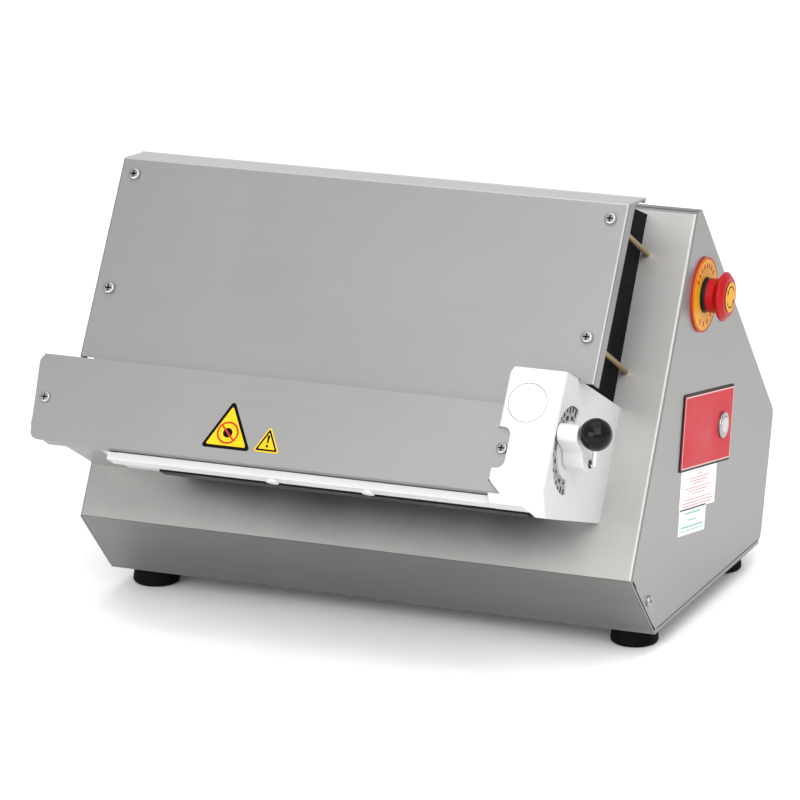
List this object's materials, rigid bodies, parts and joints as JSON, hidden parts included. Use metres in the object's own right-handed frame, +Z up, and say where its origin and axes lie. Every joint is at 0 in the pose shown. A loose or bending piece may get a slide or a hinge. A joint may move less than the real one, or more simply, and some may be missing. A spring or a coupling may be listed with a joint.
{
  "type": "dough sheeter",
  "caption": "Bench-top dough sheeter: slanted steel housing, feed plate over two powered rollers, white end block with thickness lever, emergency stop.",
  "frame": {"origin": "centre of the bounding box's footprint, at the plane of the rubber feet", "axes": "+X across the machine to its control side, +Y to the rear, +Z up"},
  "size_m": [0.5062, 0.4622, 0.3709],
  "materials": {
    "brushed_stainless": "grained satin",
    "zinc_steel": "bright zinc",
    "roller_chrome": "ground and polished",
    "white_polymer": "machined satin",
    "brass": "dull",
    "cast_aluminium": "as cast",
    "machined_steel": "turned",
    "bearing_steel": "ground",
    "gear_steel": "oiled",
    "dial_grey": "satin",
    "black_plastic": "glossy",
    "black_matte_plastic": "matt",
    "red_plastic": "satin gloss",
    "yellow_plastic": "satin",
    "red_overlay": "satin film",
    "rubber": "moulded",
    "belt_rubber": "moulded",
    "motor_paint": "enamel",
    "grey_plastic": "moulded",
    "board_green": "solder mask",
    "oilite_bronze": "sintered"
  },
  "bodies": {
    "housing": {"housing_shell": "brushed_stainless", "base_tray": "brushed_stainless", "rear_cover": "brushed_stainless", "rubber_feet": "rubber", "foot_screws": "zinc_steel", "side_screws": "zinc_steel", "rear_cover_screws": "zinc_steel", "feed_guard_plate": "brushed_stainless", "plate_standoffs": "brass", "plate_screws": "zinc_steel", "roller_guard": "brushed_stainless", "guard_screws": "zinc_steel", "front_rail": "white_polymer", "right_end_block": "white_polymer", "left_end_block": "white_polymer", "round_cap": "white_polymer", "end_block_bolts": "zinc_steel", "drive_cover": "brushed_stainless", "rear_bearings": "bearing_steel", "rear_scraper": "black_matte_plastic", "scale_dial": "dial_grey", "shaft_bush": "oilite_bronze", "chute_side_panels": "black_matte_plastic", "estop_legend": "yellow_plastic", "estop_collar": "black_matte_plastic", "start_bezel": "roller_chrome", "panel_nuts": "grey_plastic", "contact_blocks": "grey_plastic", "cable_gland": "black_matte_plastic", "control_frame": "black_matte_plastic", "control_overlay": "red_overlay", "gearbox": "cast_aluminium", "motor": "motor_paint", "fan_cowl": "motor_paint", "motor_bracket": "zinc_steel", "motor_bolts": "zinc_steel", "drive_belt": "belt_rubber", "control_box": "grey_plastic", "circuit_board": "board_green", "capacitor": "cast_aluminium", "contactor": "black_matte_plastic"},
    "rear_roller": {"rear_roller": "roller_chrome", "rear_roller_gear": "gear_steel", "roller_pulley": "cast_aluminium"},
    "front_roller": {"front_roller": "roller_chrome", "front_roller_gear": "gear_steel"},
    "front_carriage": {"right_carriage": "machined_steel", "left_carriage": "machined_steel", "front_bearings": "bearing_steel", "front_scraper": "black_matte_plastic"},
    "thickness_lever": {"lever_hub": "white_polymer", "lever_rod": "roller_chrome", "ball_knob": "black_plastic", "lever_shaft": "machined_steel", "rod_grommet": "black_matte_plastic"},
    "motor_output": {"output_shaft": "machined_steel", "motor_pulley": "cast_aluminium"},
    "estop_plunger": {"estop_stem": "black_matte_plastic"},
    "estop_head": {"estop_head": "red_plastic"},
    "start_button": {"start_button": "machined_steel"}
  },
  "joints": [
    {"name": "rear_roller_spin", "type": "hinge", "parent": "housing", "child": "rear_roller", "pos_m": [-0.0105, -0.12698, 0.16952], "axis": [1, 0, 0], "continuous": true},
    {"name": "thickness_lever", "type": "hinge", "parent": "housing", "child": "thickness_lever", "pos_m": [-0.0105, -0.17616, 0.19672], "axis": [1, 0, 0], "range_deg": [-65, 110]},
    {"name": "front_carriage_slide", "type": "slide", "parent": "housing", "child": "front_carriage", "axis": [0, -0.8751, 0.484], "range_m": [-0.00195, 0.0033]},
    {"name": "front_roller_spin", "type": "hinge", "parent": "front_carriage", "child": "front_roller", "pos_m": [-0.0105, -0.17301, 0.19498], "axis": [1, 0, 0], "continuous": true},
    {"name": "motor_output_spin", "type": "hinge", "parent": "housing", "child": "motor_output", "pos_m": [-0.0105, 0.00932, 0.0896], "axis": [1, 0, 0], "continuous": true},
    {"name": "estop_push", "type": "slide", "parent": "housing", "child": "estop_plunger", "axis": [-1, 0, 0], "range_m": [0, 0.003]},
    {"name": "estop_twist", "type": "hinge", "parent": "estop_plunger", "child": "estop_head", "pos_m": [0.2295, 0.03752, 0.2735], "axis": [-1, 0, 0], "range_deg": [0, 45], "stiffness_Nm_per_rad": 0.05},
    {"name": "start_press", "type": "slide", "parent": "housing", "child": "start_button", "axis": [-1, 0, 0], "range_m": [0, 0.0015], "stiffness_N_per_m": 600, "springref_m": -0.0005}
  ],
  "couplings": [
    {"joint": "front_roller_spin", "follows": "rear_roller_spin", "ratio": -1},
    {"joint": "motor_output_spin", "follows": "rear_roller_spin", "ratio": 2},
    {"joint": "thickness_lever", "follows": "front_carriage_slide", "rad_per_m": 581.4}
  ]
}
